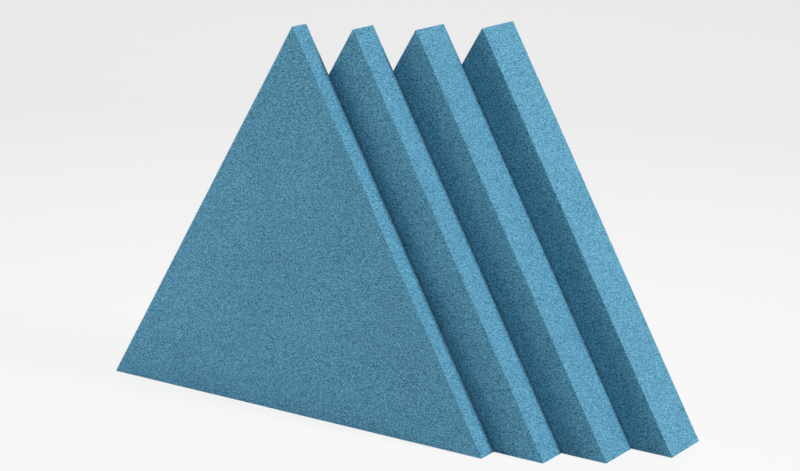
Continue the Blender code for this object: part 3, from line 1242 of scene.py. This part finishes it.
# %% [markdown]
# The screw. Its thread is one long thin ridge wound round the shank, and on so small a piece it is
# drawn as separate rings of the right pitch, which look the same. The shank is pushed out of the
# head's cone ring by ring, and each ring is made wider or narrower as it goes. The cross recess
# is cut with a small cross-shaped bit, as a real one is pressed with a punch of that form.

# %% Screw
SCREW_SIDES = 32
SCREW_SUNK = 0.0003
HEAD_RADIUS = 0.004
SHANK_RADIUS = 0.00175
THREAD_RADIUS = 0.002
SCREW_LENGTH = 0.014
HEAD_EDGE = 0.0002
POINT_RADIUS = 0.00012
PITCH = 0.0012
TURNS = 8
VALLEY_RADIUS = SHANK_RADIUS * 0.86
BIT_WIDTH = 0.0009
BIT_LENGTH = 0.0026
BIT_ARM = 0.0014
BIT_TAPER = 0.45
BIT_TURN = 20
BIT_SUNK = 0.0003


def narrow_to(radius, now, level):
    """Resizes the ring that was just pushed out, about the screw's axis."""
    bpy.ops.transform.resize(value=(radius / now, 1, radius / now), center_override=(0, level, 0))


def shape_screw():
    """A countersunk screw on the Y axis, whose head is just below y = 0."""
    top = -SCREW_SUNK
    screw = start_turned("screw", SCREW_SIDES, HEAD_RADIUS, HEAD_EDGE, top - HEAD_EDGE / 2)
    pick(screw, "FACE", lambda face: face.normal.y < -0.9 and len(face.verts) > 8)
    level = top - HEAD_EDGE
    radius = HEAD_RADIUS
    steps = [(HEAD_RADIUS - SHANK_RADIUS - HEAD_EDGE, SHANK_RADIUS)]
    valley = (PITCH * 0.35, VALLEY_RADIUS)
    steps += [valley, (PITCH * 0.22, THREAD_RADIUS), (PITCH * 0.08, THREAD_RADIUS), valley] * TURNS
    steps += [(PITCH * 0.5, THREAD_RADIUS * 0.72), (PITCH * 0.4, THREAD_RADIUS * 0.42)]
    used = sum(drop for drop, _ in steps)
    steps.append((SCREW_LENGTH - SCREW_SUNK - HEAD_EDGE - used, POINT_RADIUS))
    for drop, wanted in steps:
        push(y=-drop)
        level -= drop
        narrow_to(wanted, radius, level)
        radius = wanted
    face_outwards()
    stop()
    punch = start("punch", bpy.ops.mesh.primitive_cube_add, size=1.0)
    pick_all()
    bpy.ops.transform.resize(value=(BIT_WIDTH, BIT_LENGTH, BIT_WIDTH), center_override=(0, 0, 0))
    for way_x, way_z in ((1, 0), (-1, 0), (0, 1), (0, -1)):
        pick(
            punch,
            "FACE",
            lambda face: face.normal.x * way_x + face.normal.z * way_z > 0.9
            and abs(from_axis(face.calc_center_median()) - BIT_WIDTH / 2) < 1e-5,
        )
        push(x=way_x * BIT_ARM, z=way_z * BIT_ARM)
    pick(punch, "VERT", lambda vertex: vertex.co.y < 0)
    bpy.ops.transform.resize(value=(BIT_TAPER, 1, BIT_TAPER), center_override=(0, 0, 0))
    pick_all()
    turn = math.radians(BIT_TURN)
    bpy.ops.transform.rotate(value=turn, orient_axis="Y", center_override=(0, 0, 0))
    bpy.ops.transform.translate(value=(0, top - BIT_SUNK, 0))
    face_outwards()
    stop()
    add_modifier(screw, "BOOLEAN", object=punch, operation="DIFFERENCE", solver="EXACT")
    bpy.data.objects.remove(punch)
    shade(screw, 35, screw_plating)
    print("the screw has", faces_of(screw), "faces")
    return screw


# %% [markdown]
# Every corner block gets one magnet with its screw. Each pair is turned about its axis by chance,
# as nobody lines up the crosses of twelve screws.

# %% Magnets and screws in place
magnet, screw = shape_magnet(), shape_screw()
draw = random.Random(12)
for panel in PANELS:
    face_level = DEPTHS[panel] - FRAME_BACK
    for corner in CORNERS:
        spot = PLACES[panel] + corner_point(corner, MAGNET_FROM_TIP, face_level)
        turned = Matrix.Rotation(draw.uniform(0, math.tau), 4, "Y")
        for pattern, kind, made_as in (
            (magnet, "magnet", "pot_magnet"),
            (screw, "screw", "zinc_screw"),
        ):
            name = f"{panel}_{made_as}_{corner}"
            made = copy_piece(pattern, name, Matrix.Translation(spot) @ turned)
            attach(made, panel)
            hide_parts(f"{panel}_{kind}_{corner}")
for pattern in (magnet, screw):
    bpy.data.objects.remove(pattern)

# %% [markdown]
# Last, the tones are shown as they are, without a film's curve, because the lamps were fitted to
# the photograph that way.

# %% Finish
bpy.context.scene.view_settings.view_transform = "Standard"
